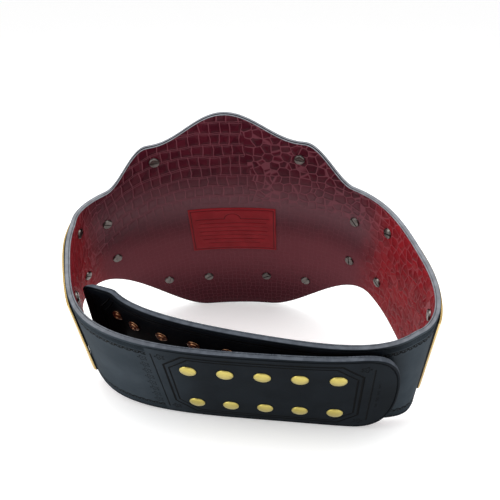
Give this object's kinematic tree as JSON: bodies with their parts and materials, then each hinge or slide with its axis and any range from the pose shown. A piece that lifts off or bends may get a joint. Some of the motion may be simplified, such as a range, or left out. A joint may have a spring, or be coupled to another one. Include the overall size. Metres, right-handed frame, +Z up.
{
  "type": "championship title belt",
  "caption": "Championship title belt fastened in a loop, with a tall plated middle, tooled black leather strap and dark red lining, standing on its lower edge.",
  "frame": {"origin": "centre of the footprint, on the surface the belt stands on", "axes": "+Z up, -Y towards the fastened snaps, +Y towards the main plate, +X to the right as seen from the snaps"},
  "size_m": [0.3792, 0.2934, 0.2703],
  "materials": {
    "leather": "satin black with painted grey edges",
    "lining": "glossy crocodile emboss, dark red",
    "label": "smooth satin red",
    "plate": "polished gold plating",
    "screw": "dark nickel",
    "snap": "polished pale gold",
    "stud": "polished copper"
  },
  "bodies": {
    "root": {"strap": "leather", "lining": "lining", "label_patch": "label", "main_plate": "plate", "side_plate_left": "plate", "side_plate_right": "plate", "main_screw_1": "screw", "main_screw_2": "screw", "main_screw_3": "screw", "main_screw_4": "screw", "main_screw_5": "screw", "main_screw_6": "screw", "main_screw_7": "screw", "main_screw_8": "screw", "main_screw_9": "screw", "main_screw_10": "screw", "side_screw_left_1": "screw", "side_screw_left_2": "screw", "side_screw_left_3": "screw", "side_screw_left_4": "screw", "side_screw_right_1": "screw", "side_screw_right_2": "screw", "side_screw_right_3": "screw", "side_screw_right_4": "screw", "snap_cap_1": "snap", "snap_cap_2": "snap", "snap_cap_3": "snap", "snap_cap_4": "snap", "snap_cap_5": "snap", "snap_cap_6": "snap", "snap_cap_7": "snap", "snap_cap_8": "snap", "snap_cap_9": "snap", "snap_cap_10": "snap", "snap_stud_1": "stud", "snap_stud_2": "stud", "snap_stud_3": "stud", "snap_stud_4": "stud", "snap_stud_5": "stud", "snap_stud_6": "stud", "snap_stud_7": "stud", "snap_stud_8": "stud", "snap_stud_9": "stud", "snap_stud_10": "stud", "snap_stud_11": "stud", "snap_stud_12": "stud", "snap_stud_13": "stud", "snap_stud_14": "stud", "snap_stud_15": "stud", "snap_stud_16": "stud"}
  },
  "joints": []
}
